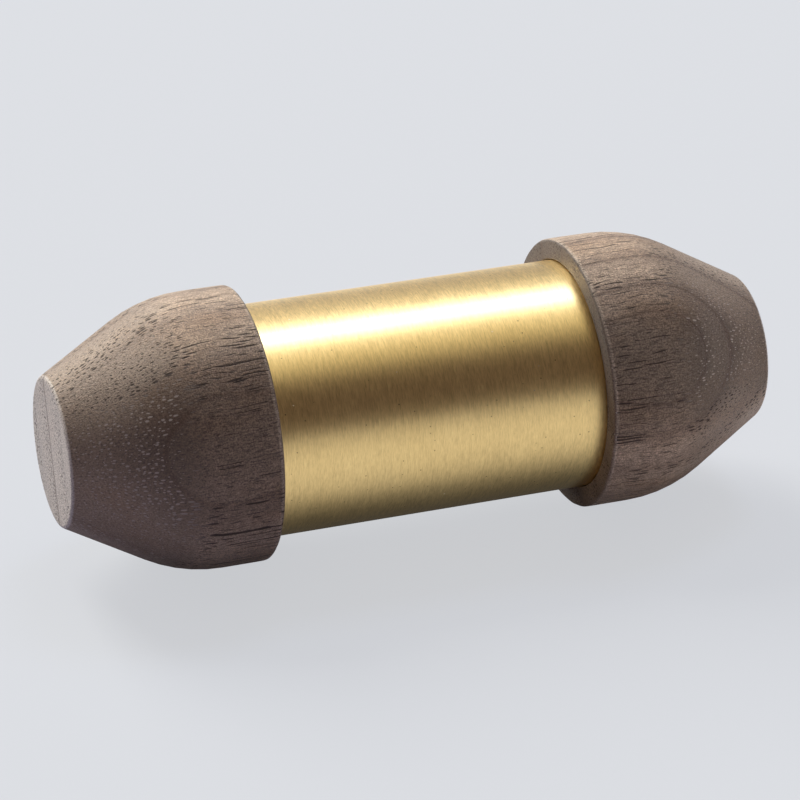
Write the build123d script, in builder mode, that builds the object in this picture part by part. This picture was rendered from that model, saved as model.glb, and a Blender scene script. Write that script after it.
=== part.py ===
from build123d import *

import os
from math import atan2, cos, degrees, pi, radians, sin

# Tubular hand shaker lying on its side: a brass tube closed at both ends by turned
# walnut caps, with loose steel shot inside.
# Millimetres. The origin is the middle of the tube on its axis, +X runs along the
# tube to the right cap, and +Z is up.

# Brass tube
TUBE_OUTER_DIAMETER = 35.0
TUBE_WALL = 1.0
TUBE_LENGTH = 75.2
TUBE_LEAD_IN = 0.3

# Walnut caps, lengths along the axis
CAP_LENGTH = 29.4
RIM_WALL = 3.15
SOCKET_DEPTH = 12.0
SOCKET_CLEARANCE = 0.1
SOCKET_MOUTH_CHAMFER = 0.4
NOSE_DIAMETER = 22.4
NOSE_CHAMFER = 0.6
TAPER_LENGTH = 16.8
SHOULDER_RADIUS = 20.0
RIM_CHAMFER = 0.3

# Steel shot: each ball has its own lane along the tube and lies at the bottom of the bore
SHOT_COUNT = 19
SHOT_DIAMETER = 3.0
SHOT_GAP = 0.2
SHOT_SIDES = 12
SHOT_BANDS = 3
SCATTER_ANGLE = 137.5

# Sizes that follow from the ones above
tube_outer_radius = TUBE_OUTER_DIAMETER / 2
tube_inner_radius = tube_outer_radius - TUBE_WALL
socket_radius = tube_outer_radius + SOCKET_CLEARANCE
cap_radius = socket_radius + RIM_WALL
nose_radius = NOSE_DIAMETER / 2
socket_floor_x = -TUBE_LENGTH / 2
rim_x = socket_floor_x + SOCKET_DEPTH
nose_x = rim_x - CAP_LENGTH
shoulder_x = nose_x + TAPER_LENGTH

shot_radius = SHOT_DIAMETER / 2
lane_width = TUBE_LENGTH / SHOT_COUNT
lane_play = (lane_width - SHOT_DIAMETER - SHOT_GAP) / 2
shot_z = -(tube_inner_radius - SHOT_GAP - shot_radius)
band_angle = 180.0 / (2 * SHOT_BANDS + 1)
facet_ratio = cos(pi / SHOT_SIDES)


# The tube, with a lead-in on its outer edges. Its end faces seat on the socket floors.
with BuildPart() as brass_tube:
    with BuildSketch(Plane.YZ.offset(socket_floor_x)):
        Circle(tube_outer_radius)
        Circle(tube_inner_radius, mode=Mode.SUBTRACT)
    extrude(amount=TUBE_LENGTH)
    outer_edges = brass_tube.edges().filter_by(GeomType.CIRCLE).group_by(SortBy.RADIUS)[-1]
    chamfer(outer_edges, length=TUBE_LEAD_IN)
brass_tube.part.label = "brass_tube"

# A cap's half profile, turned about the tube's axis: flat nose, straight taper, long
# shoulder curve, straight land, and the blind socket that takes the tube's end.
with BuildPart() as left_cap:
    with BuildSketch(Plane.XZ) as cap_profile:
        with BuildLine():
            Polyline(
                (nose_x, 0),
                (nose_x, nose_radius),
                (shoulder_x, cap_radius),
                (rim_x, cap_radius),
                (rim_x, socket_radius),
                (socket_floor_x, socket_radius),
                (socket_floor_x, 0),
                close=True,
            )
        make_face()
        nose_edge = cap_profile.vertices().group_by(Axis.X)[0].sort_by(Axis.Y)[-1]
        chamfer(nose_edge, length=NOSE_CHAMFER)
        shoulder = cap_profile.vertices().group_by(Axis.Y)[-1].sort_by(Axis.X)[0]
        fillet(shoulder, radius=SHOULDER_RADIUS)
        rim_edge = cap_profile.vertices().group_by(Axis.X)[-1].sort_by(Axis.Y)[-1]
        chamfer(rim_edge, length=RIM_CHAMFER)
        socket_mouth = cap_profile.vertices().group_by(Axis.X)[-1].sort_by(Axis.Y)[0]
        chamfer(socket_mouth, length=SOCKET_MOUTH_CHAMFER)
    revolve(axis=Axis.X)
left_cap.part.label = "left_cap"

with BuildPart() as right_cap:
    mirror(left_cap.part, about=Plane.YZ)
right_cap.part.label = "right_cap"

os.makedirs("parts", exist_ok=True)
for piece in (brass_tube, left_cap, right_cap):
    export_step(piece.part, f"parts/{piece.part.label}.step")

# One ball of shot: bands of flat facets from the equator up, whose corners all lie on the
# ball's sphere, and the same again below.
with BuildPart() as ball:
    for band in range(SHOT_BANDS):
        lower = radians(band_angle * band)
        upper = radians(band_angle * (band + 1))
        height = shot_radius * (sin(upper) - sin(lower))
        inset = shot_radius * facet_ratio * (cos(lower) - cos(upper))
        with BuildSketch(Plane.XY.offset(shot_radius * sin(lower))):
            RegularPolygon(shot_radius * cos(lower), SHOT_SIDES)
        extrude(amount=height, taper=degrees(atan2(inset, height)))
    mirror(about=Plane.XY)

# The balls lie in a row along the bottom of the bore. Each stands off the middle of its
# lane by a different amount, as loose balls do.
for number in range(1, SHOT_COUNT + 1):
    lane_x = socket_floor_x + lane_width * (number - 0.5)
    ball_x = lane_x + lane_play * sin(radians(SCATTER_ANGLE * number))
    with BuildPart() as shot:
        with Locations((ball_x, 0, shot_z)):
            add(ball.part)
    shot.part.label = f"shot_{number:02d}"
    export_step(shot.part, f"parts/{shot.part.label}.step")
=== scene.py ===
import random
from math import ceil, cos, hypot, pi, radians, sin, tan
from typing import NamedTuple

import bmesh
import bpy
from mathutils import Matrix, Vector, noise


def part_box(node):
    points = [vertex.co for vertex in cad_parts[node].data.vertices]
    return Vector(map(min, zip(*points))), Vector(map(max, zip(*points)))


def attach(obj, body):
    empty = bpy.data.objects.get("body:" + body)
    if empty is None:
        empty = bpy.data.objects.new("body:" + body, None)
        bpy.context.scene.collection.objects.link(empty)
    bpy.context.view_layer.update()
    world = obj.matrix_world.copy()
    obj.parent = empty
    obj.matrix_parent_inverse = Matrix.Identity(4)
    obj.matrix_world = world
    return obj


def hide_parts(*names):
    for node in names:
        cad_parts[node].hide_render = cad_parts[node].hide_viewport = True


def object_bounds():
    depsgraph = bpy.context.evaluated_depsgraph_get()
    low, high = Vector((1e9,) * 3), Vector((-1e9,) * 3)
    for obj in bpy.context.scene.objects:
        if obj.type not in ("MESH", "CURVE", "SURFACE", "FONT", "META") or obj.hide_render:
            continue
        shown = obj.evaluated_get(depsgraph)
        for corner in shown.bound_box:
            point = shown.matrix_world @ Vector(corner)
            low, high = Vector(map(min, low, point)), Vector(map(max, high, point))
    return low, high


# Tubular hand shaker on a pale floor: a satin brass tube between two turned walnut caps,
# with loose steel balls inside. Metres, in the part's own frame: X along the tube, Z up.

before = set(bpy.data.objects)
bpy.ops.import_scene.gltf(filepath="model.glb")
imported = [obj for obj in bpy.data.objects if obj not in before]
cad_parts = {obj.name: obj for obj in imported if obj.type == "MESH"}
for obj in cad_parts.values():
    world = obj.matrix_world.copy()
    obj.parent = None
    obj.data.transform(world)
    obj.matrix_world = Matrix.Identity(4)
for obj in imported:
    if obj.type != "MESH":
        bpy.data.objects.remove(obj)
cad_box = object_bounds()

MM = 0.001

# Turned caps, where the frame's boxes don't give the size. CAP_LENGTH and CAP_MIDDLE are for the
# wood's look, which is set out in millimetres.
CAP_LENGTH = 29.4
CAP_MIDDLE = 42.0
NOSE_RADIUS = 11.2 * MM
NOSE_EDGE_RADIUS = 0.7 * MM
TAPER_LENGTH = 16.8 * MM
SHOULDER_RADIUS = 22.0 * MM
RIM_EDGE_RADIUS = 0.45 * MM
SOCKET_CLEARANCE = 0.1 * MM
SOCKET_EDGE_RADIUS = 0.25 * MM
RIM_WEAR = 0.1 * MM
RIM_WEAR_REACH = 2.5 * RIM_EDGE_RADIUS
WEAR_SCALE = 0.45 / MM
WEAR_SPREAD = 0.35

# Brass tube
TUBE_WALL = 1.0 * MM
TUBE_EDGE_RADIUS = 0.3 * MM

# Steel balls
BALL_SUBDIVISIONS = 3
BALL_FLATS = 7
BALL_FLAT_REACH = 0.35
BALL_FLAT_DEPTH = 0.02

# Lathe meshes
SEGMENTS = 288
LONGEST_RUN = 1.2 * MM
ARC_STEP = radians(6.0)

# Camera, fitted to the photograph's outline
CAMERA_AZIMUTH = radians(-19.48)
CAMERA_ELEVATION = radians(26.0)
CAMERA_DISTANCE = 539.84 * MM
CAMERA_RIGHT = -0.837 * MM
CAMERA_UP = -0.3675 * MM
CAMERA_LENS = 160.84

# Softboxes, each as (way to the lamp, width, depth, power, colour)
LAMP_DISTANCE = 6.0
LAMPS = {
    "overhead_softbox": ((0.3, 0.335, 0.893), 2.0, 1.5, 84.0, (0.55, 0.66, 0.95)),
    "back_softbox": ((-0.22, 0.74, 0.63), 2.4, 4.0, 460.0, (1.0, 0.975, 0.875)),
    "left_softbox": ((-0.62, 0.76, 0.2), 4.0, 4.0, 150.0, (1.0, 0.985, 0.93)),
}

# Dome: dark in front, lighter behind, grey at the horizon, with a glow round the overhead softbox. Each
# pair is the start and end of a smooth step over a direction's part along one axis.
DOME_FRONT = (0.101, 0.079, 0.076)
DOME_BACK = (0.32, 0.33, 0.41)
DOME_TURN = (-0.25, 0.45)
GLOW = (1.05, 1.03, 0.8)
GLOW_TILT = radians(100.0)
GLOW_REACH = radians(50.0)
GLOW_SIDE = 0.32
GLOW_HALF_WIDTH = (0.4, 0.15)
HORIZON = (0.5, 0.52, 0.58)
HORIZON_HEIGHT = (0.05, 0.11)

# Floor: its colours to the camera, as light and as paint, and the share that is light
BACKGROUND = (0.73, 0.745, 0.776)
FLOOR_COLOUR = (0.54, 0.56, 0.615)
FLOOR_GLOW = 0.78
# What it sends back up, which grows along X between two places in millimetres
FLOOR_BOUNCE = (0.21, 0.2, 0.32)
FLOOR_BOUNCE_RIGHT = (1.0, 0.95, 1.0)
BOUNCE_TURN = (15.0, 55.0)
# Its level in the metal, a painted shadow under the tube, as (distance from a line under the tube, level).
# The line runs from -TUBE_REACH to TUBE_REACH along X, in millimetres.
TUBE_REACH = 40.0
METAL_FLOOR_SHADE = [
    (6, 0.09),
    (13, 0.13),
    (19, 0.32),
    (25, 0.7),
    (33, 0.96),
    (44, 1.08),
    (60, 1.13),
    (100, 1.1),
    (260, 0.94),
]
FLOOR_SIZE = 24.0

# Brass and steel colours
BRASS_DEEP = (0.86, 0.615, 0.262)
BRASS_PALE = (0.9, 0.66, 0.3)
BRASS_PIT = (0.2, 0.13, 0.06)
BRASS_DUST = (1.0, 0.92, 0.78)
STEEL_DULL = (0.42, 0.42, 0.43)
STEEL_BRIGHT = (0.6, 0.6, 0.61)

# Walnut colours: early and late wood, plain and warm, then the places that differ
EARLY_WOOD = (0.425, 0.317, 0.228)
LATE_WOOD = (0.245, 0.17, 0.12)
WARM_EARLY_WOOD = (0.375, 0.257, 0.166)
WARM_LATE_WOOD = (0.237, 0.152, 0.1)
NOSE_WOOD = (0.66, 0.6, 0.545)
# Painted shade on the rim face next to the tube
RIM_SHADE = (0.075, 0.06, 0.052)
WORN_WOOD = (0.52, 0.41, 0.31)
RING_LINE = (0.11, 0.062, 0.038)
SMALL_PORE = (0.07, 0.05, 0.04)
# Open pores: painted shade where lit, painted glints where not
SHADED_PORE = (0.04, 0.028, 0.022)
GLINTING_PORE = (0.53, 0.44, 0.37)

# Smooth steps as (start, end, value at the start, value at the end), in millimetres: how light the wood is
# outwards from the pith, painted shade towards the back against the back softbox, and painted shade on the
# rim upwards
PITH_STEP = (-3.0, 5.0, 0.76, 1.1)
BACK_SHADE_STEP = (17.0, 32.0, 1.0, 0.46)
RIM_SHADE_STEP = (2.0, 16.0, 0.0, 0.72)
# The cosine of the angle from its middle at which the darker band ends
BAND_EDGE = 0.8

# Vessels across the grain: cells in a millimetre, and how far a vessel wanders
VESSEL_CELLS = 1.85
SMALL_VESSEL_CELLS = 2.5
VESSEL_WANDER = 0.55


class Cut(NamedTuple):
    """How a cap lies in the wood that it is turned from, in millimetres and degrees."""

    side: int  # -1 for the left cap, 1 for the right one
    ring_angle: float  # the way to the pith, up from the front
    pith: float  # the pith's distance from the cap's axis
    first_ring: float  # how far towards the pith one ring starts
    width: float  # how wide that ring is
    growth: float  # above 1 the rings narrow outwards from there, and below 1 they widen
    lean: tuple  # the grain's tilt about Y and about Z
    vessel: float  # the widest vessels' radius, as a share of their cells
    line_width: float  # the share of a ring that its dark line takes
    line_depth: float  # how dark the line is
    line_end: float  # the height at which the lines fade out downwards
    band_angle: float  # the way to a darker band along the cap, up from the front
    band_level: float  # how light that band is, next to the rest


LEFT_CUT = Cut(
    side=-1,
    ring_angle=17.0,
    pith=250.0,
    first_ring=18.3,
    width=10.2,
    growth=1.19,
    lean=(3.0, 1.5),
    vessel=0.285,
    line_width=0.025,
    line_depth=0.4,
    line_end=-30.0,
    band_angle=35.0,
    band_level=0.85,
)
RIGHT_CUT = Cut(
    side=1,
    ring_angle=28.0,
    pith=70.0,
    first_ring=18.25,
    width=2.7,
    growth=0.65,
    lean=(-2.0, -3.8),
    vessel=0.25,
    line_width=0.12,
    line_depth=0.55,
    line_end=0.0,
    band_angle=20.0,
    band_level=0.68,
)


def rounded(corners):
    """Points along a half profile. Each corner is (x, radius, fillet radius)."""
    points = []
    for index, (x, r, fillet) in enumerate(corners):
        here = Vector((x, r))
        if not fillet:
            points.append(here)
            continue
        before = (Vector(corners[index - 1][:2]) - here).normalized()
        after = (Vector(corners[index + 1][:2]) - here).normalized()
        half = before.angle(after) / 2
        centre = here + (before + after).normalized() * (fillet / sin(half))
        start = here + before * (fillet / tan(half)) - centre
        turn = start.angle_signed(here + after * (fillet / tan(half)) - centre)
        steps = max(2, ceil(abs(turn) / ARC_STEP))
        for step in range(steps + 1):
            points.append(centre + Matrix.Rotation(-turn * step / steps, 2) @ start)
    return points


def divided(points):
    """The same outline with long straight runs divided."""
    out = [points[0]]
    for a, b in zip(points, points[1:]):
        steps = max(1, ceil((b - a).length / LONGEST_RUN))
        out += [a.lerp(b, step / steps) for step in range(1, steps + 1)]
    return out


def lathe(name, outline, looped, wear=None):
    """Turns an outline of (x, radius) points about the X axis."""
    mesh = bpy.data.meshes.new(name)
    shape = bmesh.new()
    rings = []
    for x, r in outline:
        if r < 1e-9:
            rings.append([shape.verts.new((x, 0, 0))])
            continue
        ring = []
        for step in range(SEGMENTS):
            angle = 2 * pi * step / SEGMENTS
            spot = Vector((x, -r * cos(angle), r * sin(angle)))
            if wear:
                spot = wear(spot)
            ring.append(shape.verts.new(spot))
        rings.append(ring)
    pairs = list(zip(rings, rings[1:]))
    if looped:
        pairs.append((rings[-1], rings[0]))
    for a, b in pairs:
        for step in range(SEGMENTS):
            following = (step + 1) % SEGMENTS
            corners = [a[step % len(a)], b[step % len(b)], b[following % len(b)], a[following % len(a)]]
            shape.faces.new(list(dict.fromkeys(corners)))
    bmesh.ops.recalc_face_normals(shape, faces=shape.faces)
    shape.to_mesh(mesh)
    shape.free()
    mesh.shade_smooth()
    piece = bpy.data.objects.new(name, mesh)
    bpy.context.scene.collection.objects.link(piece)
    return piece


def worn_rim(rim_x, cap_radius):
    """Pulls the rim's outer edge in by a little, unevenly, as sanding leaves it."""

    def wear(spot):
        from_edge = hypot(spot.x - rim_x, hypot(spot.y, spot.z) - cap_radius)
        share = max(0.0, 1 - from_edge / RIM_WEAR_REACH)
        if not share:
            return spot
        depth = RIM_WEAR * share * max(0.0, noise.noise(spot * WEAR_SCALE) + WEAR_SPREAD)
        return Vector((spot.x, *(Vector((spot.y, spot.z)) * (1 - depth / cap_radius))))

    return wear


def cap(name, node, side):
    """A turned cap. side is -1 for the left one and 1 for the right one."""
    low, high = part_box(node)
    tube_low, tube_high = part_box("brass_tube")
    nose_x = low.x if side < 0 else high.x
    rim_x = high.x if side < 0 else low.x
    floor_x = tube_low.x if side < 0 else tube_high.x
    cap_radius = high.z
    socket_radius = tube_high.z + SOCKET_CLEARANCE
    shoulder_x = nose_x - side * TAPER_LENGTH
    outline = rounded(
        [
            (nose_x, 0, 0),
            (nose_x, NOSE_RADIUS, NOSE_EDGE_RADIUS),
            (shoulder_x, cap_radius, SHOULDER_RADIUS),
            (rim_x, cap_radius, RIM_EDGE_RADIUS),
            (rim_x, socket_radius, SOCKET_EDGE_RADIUS),
            (floor_x, socket_radius, 0),
            (floor_x, 0, 0),
        ]
    )
    piece = lathe(name, divided(outline), looped=False, wear=worn_rim(rim_x, cap_radius))
    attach(piece, "shell")
    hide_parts(node)
    return piece


def tube(name, node):
    """The tube, with its ends rounded over."""
    low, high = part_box(node)
    outer = high.z
    inner = outer - TUBE_WALL
    outline = rounded(
        [
            (0, inner, 0),
            (low.x, inner, TUBE_EDGE_RADIUS),
            (low.x, outer, TUBE_EDGE_RADIUS),
            (high.x, outer, TUBE_EDGE_RADIUS),
            (high.x, inner, TUBE_EDGE_RADIUS),
            (0, inner, 0),
        ]
    )
    piece = lathe(name, divided(outline)[:-1], looped=True)
    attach(piece, "shell")
    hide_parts(node)
    return piece


def ball(name, node, seed):
    """A steel ball with the small flats that rattling leaves on it."""
    low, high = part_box(node)
    radius = (high.x - low.x) / 2
    centre = (low + high) / 2
    draw = random.Random(seed)
    flats = [Vector([draw.gauss(0, 1) for _ in range(3)]).normalized() for _ in range(BALL_FLATS)]
    mesh = bpy.data.meshes.new(name)
    shape = bmesh.new()
    bmesh.ops.create_icosphere(shape, subdivisions=BALL_SUBDIVISIONS, radius=1.0)
    for vert in shape.verts:
        way = vert.co.normalized()
        nearest = min(way.angle(flat) for flat in flats)
        dip = BALL_FLAT_DEPTH * max(0.0, 1 - (nearest / BALL_FLAT_REACH) ** 2)
        vert.co = centre + way * (radius * (1 - dip))
    shape.to_mesh(mesh)
    shape.free()
    mesh.shade_smooth()
    piece = bpy.data.objects.new(name, mesh)
    bpy.context.scene.collection.objects.link(piece)
    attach(piece, node)
    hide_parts(node)
    return piece


class Graph:
    """Adds nodes to one node tree, and wires them."""

    def __init__(self, tree):
        self.tree = tree
        tree.nodes.clear()

    def node(self, kind, inputs=None, **settings):
        made = self.tree.nodes.new(kind)
        for name, value in settings.items():
            setattr(made, name, value)
        for socket, value in (inputs or {}).items():
            if isinstance(value, bpy.types.NodeSocket):
                self.tree.links.new(value, made.inputs[socket])
            else:
                made.inputs[socket].default_value = value
        return made

    def math(self, operation, *values):
        return self.node("ShaderNodeMath", dict(enumerate(values)), operation=operation).outputs[0]

    def vector(self, operation, *values):
        made = self.node("ShaderNodeVectorMath", dict(enumerate(values)), operation=operation)
        return made.outputs["Value" if operation in ("DOT_PRODUCT", "LENGTH") else "Vector"]

    def combine(self, x, y, z):
        return self.node("ShaderNodeCombineXYZ", {"X": x, "Y": y, "Z": z}).outputs[0]

    def separate(self, vector):
        return self.node("ShaderNodeSeparateXYZ", {0: vector}).outputs

    def noise(self, vector, scale=1.0, detail=2.0, roughness=0.5):
        inputs = {"Vector": vector, "Scale": scale, "Detail": detail, "Roughness": roughness}
        return self.node("ShaderNodeTexNoise", inputs).outputs["Fac"]

    def cells(self, vector, scale, dimensions="3D"):
        inputs = {"Vector": vector, "Scale": scale}
        return self.node("ShaderNodeTexVoronoi", inputs, voronoi_dimensions=dimensions).outputs

    def step(self, value, start, end, low=0.0, high=1.0):
        """A smooth step from low at start to high at end."""
        inputs = {"Value": value, "From Min": start, "From Max": end, "To Min": low, "To Max": high}
        return self.node("ShaderNodeMapRange", inputs, interpolation_type="SMOOTHSTEP").outputs[0]

    def spread(self, value, low, high):
        """A 0 to 1 value as low to high."""
        inputs = {"Value": value, "To Min": low, "To Max": high}
        return self.node("ShaderNodeMapRange", inputs).outputs[0]

    def ramp(self, value, stops):
        made = self.node("ShaderNodeValToRGB", {"Fac": value})
        points = made.color_ramp.elements
        while len(points) < len(stops):
            points.new(0.5)
        for point, (place, level) in zip(points, stops):
            point.position = place
            point.color = (level, level, level, 1)
        return made.outputs["Color"]

    def mix(self, share, a, b, blend="MIX"):
        colours = [c if isinstance(c, bpy.types.NodeSocket) else (*c, 1) for c in (a, b)]
        inputs = {0: share, 6: colours[0], 7: colours[1]}
        return self.node("ShaderNodeMix", inputs, data_type="RGBA", blend_type=blend).outputs[2]

    def shade(self, colour, level):
        """A colour made lighter or darker by a number."""
        return self.vector("MULTIPLY", colour, self.combine(level, level, level))

    def millimetres(self):
        place = self.node("ShaderNodeTexCoord").outputs["Object"]
        return self.vector("MULTIPLY", place, (1 / MM,) * 3)

    def surface(self, shader, kind="ShaderNodeOutputMaterial"):
        out = self.node(kind)
        self.tree.links.new(shader, out.inputs["Surface"])


def material(name):
    made = bpy.data.materials.new(name)
    made.use_nodes = True
    return made, Graph(made.node_tree)


def brass():
    """Satin brass, brushed round the tube, with small pits, specks of dust and a few fine scratches."""
    made, g = material("satin_brass")
    place = g.millimetres()
    coarse = g.noise(g.vector("MULTIPLY", place, (2.2, 0.16, 0.16)), detail=2.0)
    fine = g.noise(g.vector("MULTIPLY", place, (6.0, 0.8, 0.8)), detail=3.0, roughness=0.65)
    brushing = g.math("ADD", g.math("MULTIPLY", coarse, 0.25), g.math("MULTIPLY", fine, 0.75))
    cloud = g.noise(place, scale=0.09, detail=3.0)
    pits = g.cells(place, 0.68)
    chosen = g.step(g.separate(pits["Color"])[0], 0.42, 0.47)
    pit = g.math("MULTIPLY", g.step(pits["Distance"], 0.1, 0.05), chosen)
    line = g.noise(g.vector("MULTIPLY", place, (0.25, 0.1, 0.32)), detail=1.0)
    hair = g.step(g.math("ABSOLUTE", g.math("SUBTRACT", line, 0.53)), 0.0022, 0.0006)
    scratch = g.math("MULTIPLY", hair, g.step(g.noise(place, scale=0.16), 0.6, 0.68))
    level = g.math("MULTIPLY", g.spread(brushing, 0.4, 1.6), g.spread(cloud, 0.95, 1.05))
    colour = g.shade(g.mix(cloud, BRASS_DEEP, BRASS_PALE), level)
    dust = g.step(g.separate(pits["Color"])[1], 0.85, 0.9)
    colour = g.mix(g.math("MULTIPLY", pit, 0.75), colour, g.mix(dust, BRASS_PIT, BRASS_DUST))
    rough = g.math("ADD", g.spread(brushing, 0.24, 0.42), g.math("MULTIPLY", scratch, 0.2))
    rough = g.math("ADD", rough, g.math("MULTIPLY", g.math("MULTIPLY", pit, dust), 0.5))
    height = g.math("SUBTRACT", brushing, g.math("ADD", pit, g.math("MULTIPLY", scratch, 0.6)))
    bump = g.node("ShaderNodeBump", {"Strength": 0.5, "Distance": 0.01 * MM, "Height": height})
    inputs = {"Base Color": colour, "Metallic": 1.0, "Roughness": rough, "Normal": bump.outputs[0]}
    g.surface(g.node("ShaderNodeBsdfPrincipled", inputs).outputs[0])
    return made


def growth_rings(g, cut, grain, nose):
    """How far a place is from the first ring, how far through its ring, and its share of ring line."""
    y, z = g.separate(grain)[1:]
    angle = radians(cut.ring_angle)
    pith_y = g.math("ADD", y, cut.pith * cos(angle))
    pith_z = g.math("SUBTRACT", z, cut.pith * sin(angle))
    from_pith = g.vector("LENGTH", g.combine(0.0, pith_y, pith_z))
    bend = g.noise(g.vector("MULTIPLY", grain, (0.025, 0.06, 0.06)), detail=2.0)
    bent = g.math("ADD", from_pith, g.spread(bend, -1.0, 1.0))
    out = g.math("SUBTRACT", bent, cut.pith - cut.first_ring)
    age = g.math("POWER", g.math("DIVIDE", g.math("ABSOLUTE", out), cut.width), cut.growth)
    age = g.math("MULTIPLY", age, g.math("SIGN", out))
    season = g.math("FRACT", g.math("ADD", age, 8.0))

    # A line ends each ring, and is wider and darker across the middle of the nose
    from_axis = g.math("ABSOLUTE", g.math("SUBTRACT", out, cut.first_ring))
    heart = g.math("MULTIPLY", nose, g.step(from_axis, 4.0, 2.5))
    line_start = g.math("MULTIPLY_ADD", heart, -0.12, 1 - cut.line_width)
    line = g.step(season, line_start, 1 - cut.line_width / 4)
    line = g.math("MULTIPLY", line, g.step(z, cut.line_end - 4, cut.line_end + 4))
    depth = g.math("MULTIPLY_ADD", heart, 0.35, cut.line_depth)
    return out, season, g.math("MULTIPLY", line, depth)


def vessels(g, cut, grain, season, key_lit):
    """Open pores, the hollows round them, and small pores: tubes along the grain, cut where they surface.

    The tubes wander, so that they come and go at the surface. They are widest early in a ring.
    """
    y, z = g.separate(grain)[1:]
    drift = g.vector("MULTIPLY", grain, (0.045 / cut.vessel, 0.3, 0.3))
    wander_y = g.spread(g.noise(drift, detail=1.0), -VESSEL_WANDER, VESSEL_WANDER)
    elsewhere = g.vector("ADD", drift, (7, 3, 5))
    wander_z = g.spread(g.noise(elsewhere, detail=1.0), -VESSEL_WANDER, VESSEL_WANDER)
    across = g.combine(g.math("ADD", y, wander_y), g.math("ADD", z, wander_z), 0.0)
    early = g.ramp(season, [(0.0, 1.0), (0.3, 0.85), (0.55, 0.35), (0.8, 0.1), (1.0, 0.0)])
    wide = g.cells(across, VESSEL_CELLS, "2D")
    chance = g.separate(wide["Color"])[0]
    bore = g.math("MULTIPLY", g.spread(early, 0.4 * cut.vessel, cut.vessel), g.spread(chance, 0.4, 1.3))
    # Pores with painted glints, away from the lamps, are drawn smaller
    bore = g.math("MULTIPLY", bore, g.spread(key_lit, 0.8, 1.05))
    reach = g.math("DIVIDE", wide["Distance"], bore)
    pore = g.step(reach, 1.15, 0.7)
    pit = g.step(reach, 1.6, 0.5)
    narrow = g.cells(across, SMALL_VESSEL_CELLS, "2D")
    chosen = g.step(g.separate(narrow["Color"])[1], 0.25, 0.5)
    small_pore = g.math("MULTIPLY", g.step(narrow["Distance"], 0.22, 0.1), chosen)
    return pore, pit, small_pore


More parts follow.
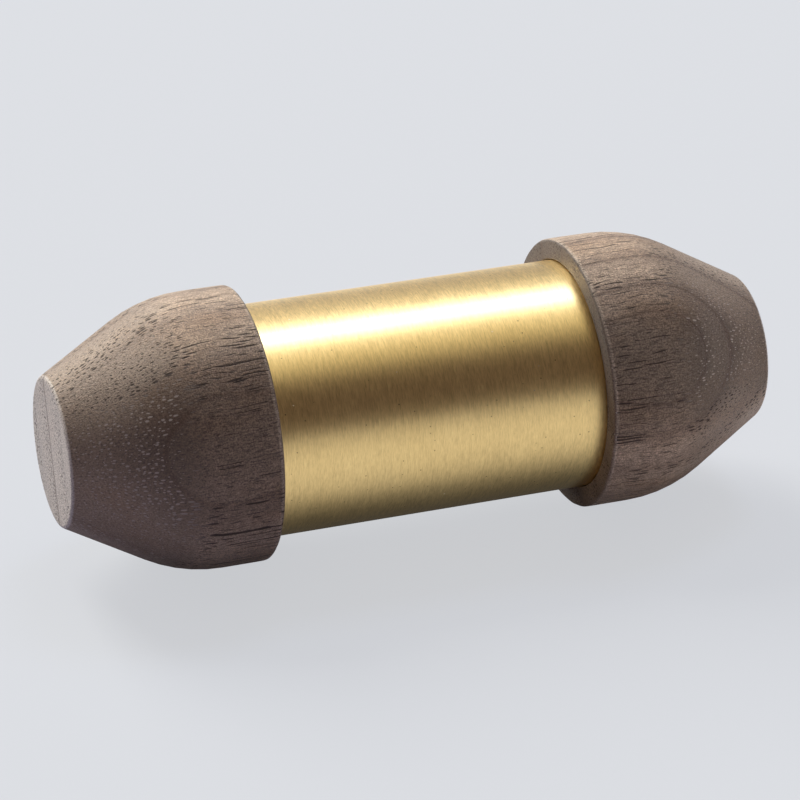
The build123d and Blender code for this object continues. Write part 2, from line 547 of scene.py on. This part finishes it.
def walnut(name, cut):
    """Sanded walnut as a solid block: rings about a pith outside the cap, and vessels along the grain."""
    made, g = material(name)
    place = g.millimetres()
    tilt = (0, radians(cut.lean[0]), radians(cut.lean[1]))
    turn = {"Vector": place, "Center": (cut.side * CAP_MIDDLE, 0, 0), "Rotation": tilt}
    grain = g.node("ShaderNodeVectorRotate", turn, rotation_type="EULER_XYZ").outputs[0]
    y, z = g.separate(grain)[1:]

    # Parts of the cap: its nose, its rim, the rim's worn edge, and where the surface runs along the grain
    from_middle = g.math("ABSOLUTE", g.separate(place)[0])
    nose_x = cad_box[1].x / MM
    rim_x = nose_x - CAP_LENGTH
    nose = g.step(from_middle, nose_x - 0.5, nose_x - 0.2)
    rim = g.step(from_middle, rim_x + 0.3, rim_x + 0.1)
    worn = g.math("SUBTRACT", g.step(from_middle, rim_x + 0.8, rim_x + 0.5), rim)
    facing = g.node("ShaderNodeNewGeometry").outputs["Normal"]
    side_grain = g.step(g.math("ABSOLUTE", g.separate(facing)[0]), 0.4, 0.15)

    # Painted pores: shade on the lands and where lit by the back softbox or right floor, glints elsewhere
    toward_back_lamp = g.vector("DOT_PRODUCT", facing, (-0.32, 0.72, 0.62))
    toward_lit_floor = g.math("SUBTRACT", g.vector("DOT_PRODUCT", facing, (0.6, -0.3, -0.74)), 0.35)
    key_lit = g.math("MAXIMUM", g.step(g.math("MAXIMUM", toward_back_lamp, toward_lit_floor), 0.0, 0.2), side_grain)

    out, season, line = growth_rings(g, cut, grain, nose)
    pore, pit, small_pore = vessels(g, cut, grain, season, key_lit)

    # Fibres, the fine tooth of a sanded surface, and broad warm patches
    fibre = g.noise(g.vector("MULTIPLY", grain, (0.7, 4.5, 4.5)), detail=3.0, roughness=0.65)
    tooth = g.noise(grain, scale=4.2, detail=2.0, roughness=0.65)
    mottle = g.noise(g.vector("MULTIPLY", grain, (0.05, 0.13, 0.13)), detail=2.0)

    # Colour: by season, darker near the pith, on the slopes and in a band along the cap, with painted shade
    # at the back
    late = g.ramp(season, [(0.0, 0.9), (0.15, 0.65), (0.4, 0.3), (0.6, 0.4), (0.78, 0.55), (1.0, 0.7)])
    colour = g.mix(late, EARLY_WOOD, LATE_WOOD)
    colour = g.mix(g.step(mottle, 0.45, 0.75), colour, g.mix(late, WARM_EARLY_WOOD, WARM_LATE_WOOD))
    colour = g.shade(colour, g.step(out, *PITH_STEP))
    # Painted shade: darker towards the back, to tone down the back softbox
    colour = g.shade(colour, g.step(out, *BACK_SHADE_STEP))
    colour = g.shade(colour, g.spread(side_grain, 0.84, 1.12))
    band_way = (0, -cos(radians(cut.band_angle)), sin(radians(cut.band_angle)))
    toward = g.vector("DOT_PRODUCT", g.vector("NORMALIZE", g.combine(0.0, y, z)), band_way)
    band = g.step(toward, BAND_EDGE, 1.0, 1.0, cut.band_level)
    colour = g.shade(colour, g.math("MAXIMUM", band, g.math("MAXIMUM", nose, rim)))
    colour = g.mix(g.math("MULTIPLY", nose, 0.6), colour, NOSE_WOOD)
    # Painted shade on the rim face: none low down, deepest at the top where the lamps light it
    colour = g.mix(g.math("MULTIPLY", rim, g.step(z, *RIM_SHADE_STEP)), colour, RIM_SHADE)
    colour = g.mix(g.math("MULTIPLY", worn, 0.45), colour, WORN_WOOD)
    colour = g.mix(line, colour, RING_LINE)
    level = g.math("MULTIPLY", g.spread(fibre, 0.0, 2.0), g.spread(tooth, -0.4, 2.4))
    colour = g.shade(colour, g.math("POWER", level, g.spread(side_grain, 0.6, 1.0)))
    colour = g.mix(g.math("MULTIPLY", small_pore, 0.6), colour, SMALL_PORE)
    # Pore colour: painted shade where lit, painted glints where not
    colour = g.mix(g.math("MULTIPLY", pore, 0.9), colour, g.mix(key_lit, GLINTING_PORE, SHADED_PORE))

    # Surface
    rough = g.math("ADD", g.spread(tooth, 0.42, 0.62), g.math("MULTIPLY", pit, 0.35))
    hollow = g.math("ADD", g.math("MULTIPLY", pit, 0.15), g.math("MULTIPLY", small_pore, 0.08))
    relief = g.math("ADD", g.math("MULTIPLY", fibre, 0.5), g.math("MULTIPLY", tooth, 0.8))
    relief = g.math("SUBTRACT", relief, hollow)
    bump = g.node("ShaderNodeBump", {"Strength": 0.7, "Distance": 0.2 * MM, "Height": relief})
    inputs = {"Base Color": colour, "Roughness": rough, "Normal": bump.outputs[0]}
    inputs |= {"Specular IOR Level": 0.3, "Sheen Weight": 0.15, "Sheen Roughness": 0.4}
    g.surface(g.node("ShaderNodeBsdfPrincipled", inputs).outputs[0])
    return made


def steel():
    """Dull steel shot, scuffed all over."""
    made, g = material("shot_steel")
    place = g.millimetres()
    scuff = g.noise(place, scale=2.5, detail=3.0)
    colour = g.mix(scuff, STEEL_DULL, STEEL_BRIGHT)
    inputs = {"Base Color": colour, "Metallic": 1.0, "Roughness": g.spread(scuff, 0.22, 0.5)}
    g.surface(g.node("ShaderNodeBsdfPrincipled", inputs).outputs[0])
    return made


def floor(level):
    """A wide pale floor, near even to the camera but for the object's shadow, with a painted shadow in the
    metal.
    """
    mesh = bpy.data.meshes.new("floor")
    half = FLOOR_SIZE / 2
    corners = [(-half, -half, level), (half, -half, level), (half, half, level), (-half, half, level)]
    mesh.from_pydata(corners, [], [(0, 1, 2, 3)])
    made, g = material("pale_floor")
    place = g.millimetres()
    x, y = g.separate(place)[:2]
    paper = g.noise(place, scale=0.4, detail=2.0)
    path = g.node("ShaderNodeLightPath").outputs
    bounce = g.mix(g.step(x, *BOUNCE_TURN), FLOOR_BOUNCE, FLOOR_BOUNCE_RIGHT)
    colour = g.mix(path["Is Camera Ray"], bounce, FLOOR_COLOUR)
    colour = g.shade(colour, g.spread(paper, 0.995, 1.005))
    lit = g.node("ShaderNodeBsdfDiffuse", {"Color": colour}).outputs[0]
    mirrored = g.math("MAXIMUM", path["Is Glossy Ray"], path["Is Transmission Ray"])
    reach = METAL_FLOOR_SHADE[-1][0]
    beyond = g.math("MAXIMUM", g.math("SUBTRACT", g.math("ABSOLUTE", x), TUBE_REACH), 0.0)
    aside = g.math("DIVIDE", g.vector("LENGTH", g.combine(beyond, y, 0.0)), reach)
    # The metal sees a painted shadow under the tube, not the lit floor
    painted_shadow = g.ramp(aside, [(distance / reach, share) for distance, share in METAL_FLOOR_SHADE])
    plain = g.mix(mirrored, BACKGROUND, g.mix(1.0, painted_shadow, BACKGROUND, "MULTIPLY"))
    plain = g.node("ShaderNodeEmission", {"Color": plain}).outputs[0]
    share = g.math("MAXIMUM", mirrored, g.math("MULTIPLY", path["Is Camera Ray"], FLOOR_GLOW))
    g.surface(g.node("ShaderNodeMixShader", {0: share, 1: lit, 2: plain}).outputs[0])
    mesh.materials.append(made)
    piece = bpy.data.objects.new("floor", mesh)
    bpy.context.scene.collection.objects.link(piece)


def dome():
    """The studio: grey at the horizon, dark in front, lighter behind, with a glow overhead."""
    world = bpy.data.worlds.new("studio")
    world.use_nodes = True
    g = Graph(world.node_tree)
    way = g.node("ShaderNodeTexCoord").outputs["Generated"]
    x, y, z = g.separate(way)
    above = g.mix(g.step(y, *DOME_TURN), DOME_FRONT, DOME_BACK)
    overhead = g.vector("DOT_PRODUCT", way, (0, -cos(GLOW_TILT), sin(GLOW_TILT)))
    beside = g.step(g.math("ABSOLUTE", g.math("SUBTRACT", x, GLOW_SIDE)), *GLOW_HALF_WIDTH)
    glow = g.math("MULTIPLY", g.step(overhead, cos(GLOW_REACH), 1.0), beside)
    above = g.mix(glow, above, GLOW, "ADD")
    colour = g.mix(g.step(z, *HORIZON_HEIGHT), HORIZON, above)
    g.surface(g.node("ShaderNodeBackground", {"Color": colour}).outputs[0], "ShaderNodeOutputWorld")
    bpy.context.scene.world = world


def lamps():
    """Softboxes that face the object."""
    for name, (way, width, depth, power, colour) in LAMPS.items():
        light = bpy.data.lights.new(name, "AREA")
        light.shape = "RECTANGLE"
        light.size = width
        light.size_y = depth
        light.energy = power
        light.color = colour
        lamp = bpy.data.objects.new(name, light)
        back = Vector(way).normalized()
        across = back.cross(Vector((0, 1, 0))).normalized()
        axes = Matrix((across, back.cross(across), back)).transposed().to_4x4()
        lamp.matrix_world = Matrix.Translation(back * LAMP_DISTANCE) @ axes
        bpy.context.scene.collection.objects.link(lamp)


def camera():
    lens = bpy.data.cameras.new("camera")
    lens.lens = CAMERA_LENS
    lens.clip_start = 0.01
    lens.clip_end = 2 * FLOOR_SIZE
    view = bpy.data.objects.new("camera", lens)
    flat = cos(CAMERA_ELEVATION)
    back = Vector((sin(CAMERA_AZIMUTH) * flat, -cos(CAMERA_AZIMUTH) * flat, sin(CAMERA_ELEVATION)))
    right = Vector((cos(CAMERA_AZIMUTH), sin(CAMERA_AZIMUTH), 0))
    up = back.cross(right)
    axes = Matrix((right, up, back)).transposed().to_4x4()
    eye = back * CAMERA_DISTANCE + right * CAMERA_RIGHT + up * CAMERA_UP
    view.matrix_world = Matrix.Translation(eye) @ axes
    bpy.context.scene.collection.objects.link(view)
    bpy.context.scene.camera = view


left_cap = cap("left_walnut_cap", "left_cap", LEFT_CUT.side)
left_cap.data.materials.append(walnut("left_walnut", LEFT_CUT))
right_cap = cap("right_walnut_cap", "right_cap", RIGHT_CUT.side)
right_cap.data.materials.append(walnut("right_walnut", RIGHT_CUT))
shell_tube = tube("satin_tube", "brass_tube")
shell_tube.data.materials.append(brass())

shot_steel = steel()
shot_nodes = sorted(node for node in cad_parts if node.startswith("shot_"))
for number, node in enumerate(shot_nodes, 1):
    ball(f"steel_ball_{number:02d}", node, number).data.materials.append(shot_steel)

floor(cad_box[0].z)
dome()
lamps()
camera()
bpy.context.scene.view_settings.view_transform = "Standard"
